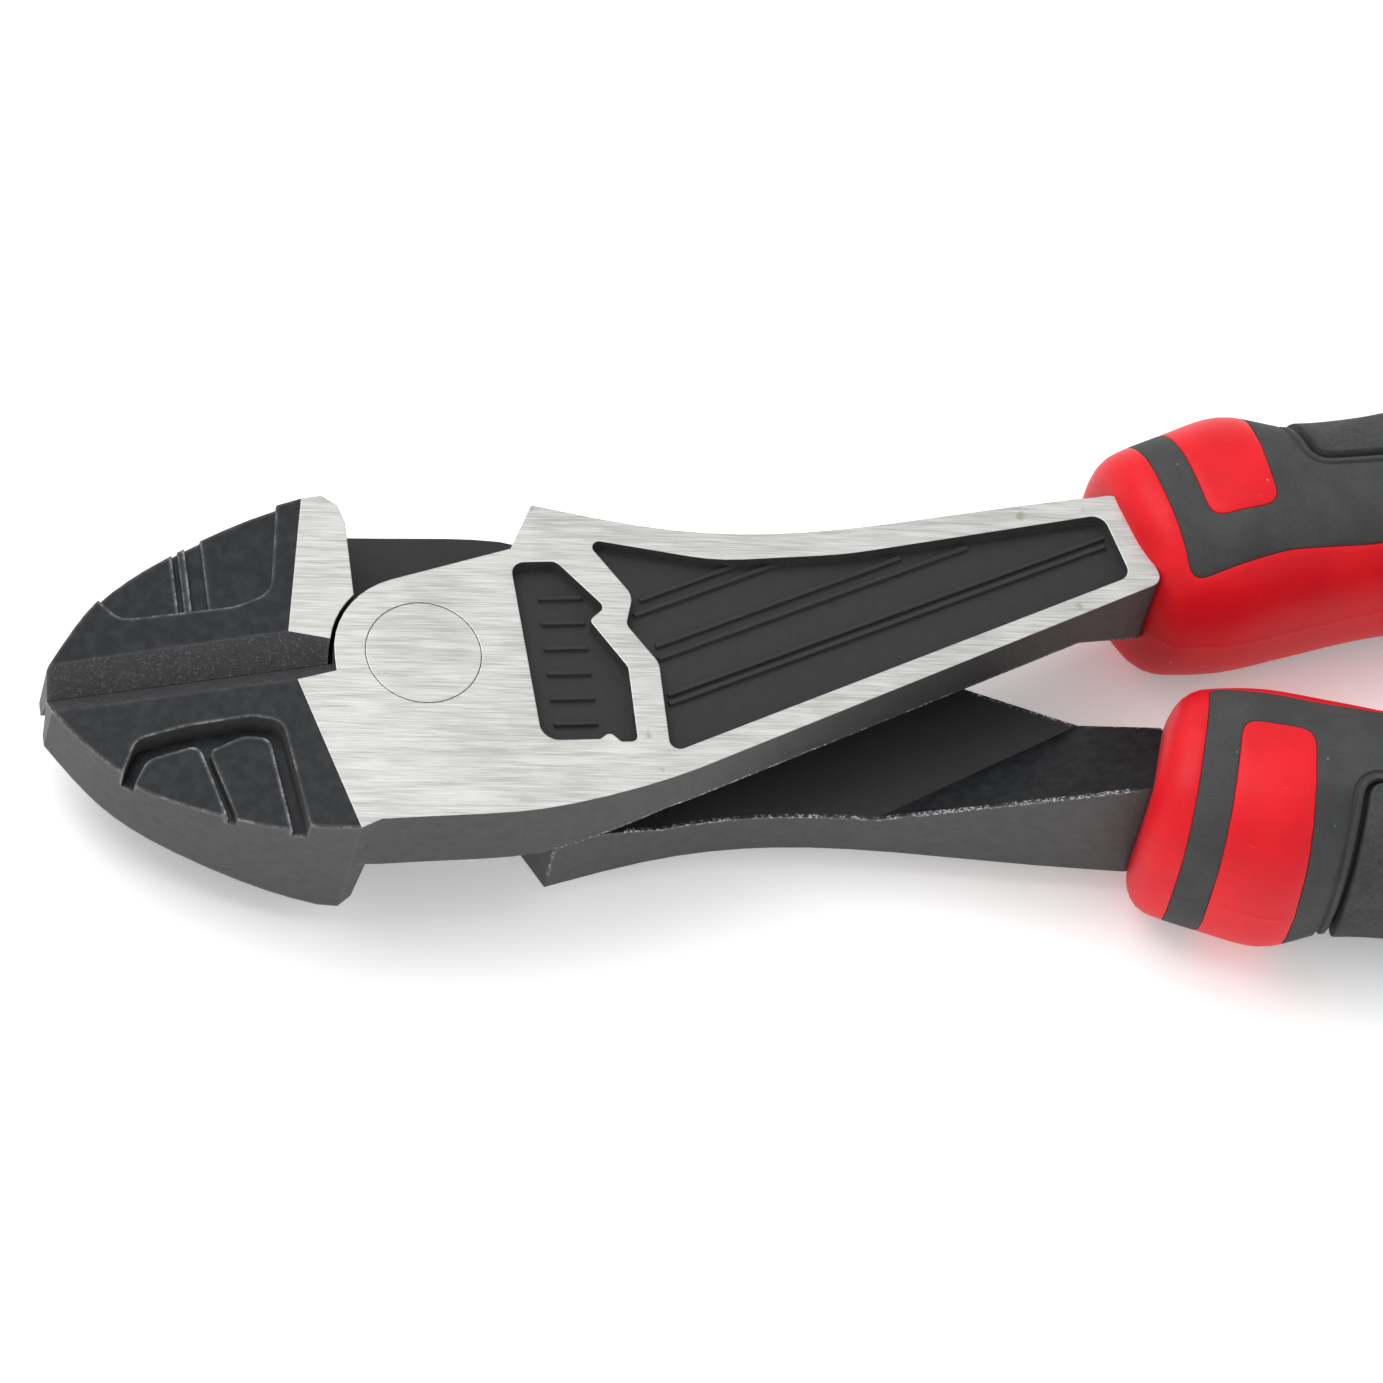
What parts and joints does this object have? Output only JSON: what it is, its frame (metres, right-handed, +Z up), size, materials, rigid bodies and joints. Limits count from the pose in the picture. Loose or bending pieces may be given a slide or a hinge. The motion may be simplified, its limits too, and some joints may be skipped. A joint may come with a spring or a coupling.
{
  "type": "side cutters",
  "caption": "Heavy side cutters with a flush-riveted lap joint, bevelled cutting jaws and two-tone moulded grips; opens and closes about the pivot.",
  "frame": {"origin": "pivot axis, on the lower ground face of the head", "axes": "+X along the tool from the pivot towards the grips, +Y towards the handle of the front half, +Z up out of the upper ground face"},
  "size_m": [0.18, 0.05, 0.0174],
  "materials": {
    "forged_steel": "black phosphated forging with ground, brushed bright faces",
    "rivet_steel": "ground flush with the bright face",
    "grip_red": "semi-matt red polypropylene",
    "grip_dark": "matt dark grey soft over-mould",
    "grip_pad": "fine-textured dark grey soft pad"
  },
  "bodies": {
    "front_handle": {"front_half": "forged_steel", "pivot_rivet": "rivet_steel", "front_grip_core": "grip_red", "front_grip_shell": "grip_dark", "front_grip_pad": "grip_pad"},
    "rear_handle": {"rear_half": "forged_steel", "rear_grip_core": "grip_red", "rear_grip_shell": "grip_dark", "rear_grip_pad": "grip_pad"}
  },
  "joints": [
    {"name": "pivot", "type": "hinge", "parent": "front_handle", "child": "rear_handle", "pos_m": [0, 0, 0.006], "axis": [0, 0, -1], "range_deg": [0, 39]}
  ]
}
